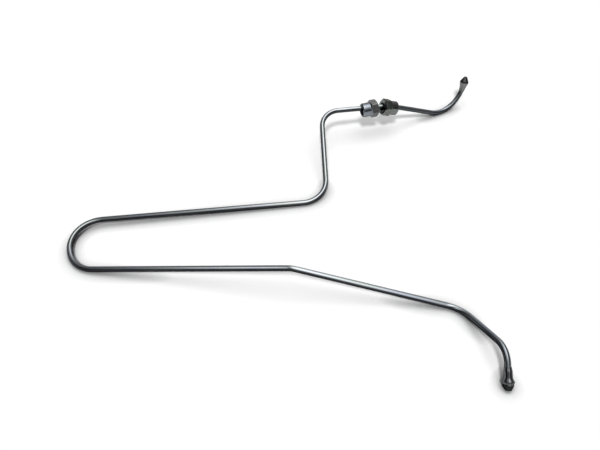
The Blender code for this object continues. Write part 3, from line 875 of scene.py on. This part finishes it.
def makeTable():
    # A square whose paint darkens close under a piece and glows a little where it is looked at
    half = studio["tableSize"] / 2
    corners = [(-half, -half, 0), (half, -half, 0), (half, half, 0), (-half, half, 0)]
    mesh = bpy.data.meshes.new("table")
    mesh.from_pydata(corners, [], [(0, 1, 2, 3)])
    table = bpy.data.objects.new("table", mesh)
    bpy.context.scene.collection.objects.link(table)
    paint = bpy.data.materials.new("whiteTable")
    paint.use_nodes = True
    tree = paint.node_tree
    tree.nodes.remove(tree.nodes["Principled BSDF"])
    openSky = addNode(tree, "ShaderNodeAmbientOcclusion", {"Distance": studio["contactReach"]},
                      samples=studio["contactSamples"])
    lit = remap(tree, openSky.outputs["AO"], studio["contactFloor"], 1.0)
    shade = blendColours(tree, lit, studio["contactShade"], studio["tableColour"])
    matte = addNode(tree, "ShaderNodeBsdfDiffuse", {"Color": shade})
    path = addNode(tree, "ShaderNodeLightPath")
    seen = maths(tree, "MAXIMUM", path.outputs["Is Camera Ray"], path.outputs["Is Glossy Ray"])
    seen = maths(tree, "MAXIMUM", seen, path.outputs["Is Transmission Ray"])
    seen = maths(tree, "MULTIPLY", seen, lit)
    seen = maths(tree, "MULTIPLY", seen, studio["tableGlow"])
    glow = addNode(tree, "ShaderNodeEmission", {"Strength": seen})
    both = addNode(tree, "ShaderNodeAddShader", {0: matte.outputs[0], 1: glow.outputs[0]})
    tree.links.new(both.outputs[0], tree.nodes["Material Output"].inputs["Surface"])
    mesh.materials.append(paint)


def softboxLevel(tree, way, sideways, lengthwise, level):
    # level * e^-(x^2 + y^2), where x and y are a direction's distances from the middle over the reach
    total = 0.0
    for axis, (middle, reach) in (("X", sideways), ("Y", lengthwise)):
        offset = maths(tree, "DIVIDE", maths(tree, "SUBTRACT", way.outputs[axis], middle), reach)
        total = maths(tree, "ADD", maths(tree, "MULTIPLY", offset, offset), total)
    return maths(tree, "MULTIPLY", maths(tree, "POWER", math.exp(-1.0), total), level)


def makeWorld():
    # A dim room in front, a pale one behind, soft boxes overhead and a pale band at table level.
    # Only mirrored rays see it: matt things get an even level, and the camera sees white.
    world = bpy.data.worlds.new("studio")
    bpy.context.scene.world = world
    world.use_nodes = True
    tree = world.node_tree
    way = addNode(tree, "ShaderNodeTexCoord").outputs["Generated"]
    way = addNode(tree, "ShaderNodeSeparateXYZ", {0: way})
    room = remap(tree, way.outputs["Y"], -1.0, 1.0, *studio["wallLevels"])
    room = maths(tree, "MULTIPLY", room, remap(tree, way.outputs["X"], *studio["curtain"]))
    for sideways, lengthwise, level in studio["softboxes"].values():
        room = maths(tree, "ADD", room, softboxLevel(tree, way, sideways, lengthwise, level))
    band = remap(tree, way.outputs["Z"], 0.0, studio["horizonTop"], 1.0, 0.0)
    room = blendValues(tree, band, room, studio["horizonLevel"])
    path = addNode(tree, "ShaderNodeLightPath")
    room = blendValues(tree, path.outputs["Is Diffuse Ray"], room, studio["diffuseLevel"])
    room = blendValues(tree, path.outputs["Is Camera Ray"], room, studio["backdropLevel"])
    background = tree.nodes["Background"]
    background.inputs["Color"].default_value = (1.0, 1.0, 1.0, 1.0)
    tree.links.new(room, background.inputs["Strength"])


def addCamera():
    camera = bpy.data.cameras.new("camera")
    camera.lens = studio["lens"]
    camera.sensor_width = studio["sensorWidth"]
    camera.clip_start = studio["nearest"]
    holder = bpy.data.objects.new("camera", camera)
    holder.location = studio["cameraPlace"]
    holder.rotation_euler = (math.radians(90.0 - studio["cameraPitch"]), 0.0, 0.0)
    bpy.context.scene.collection.objects.link(holder)
    bpy.context.scene.camera = holder


makeTable()
makeWorld()
for name, (place, level, width) in studio["suns"].items():
    addSun(name, place, level, width)
addCamera()
bpy.context.scene.view_settings.view_transform = "Standard"
print("studio ready")
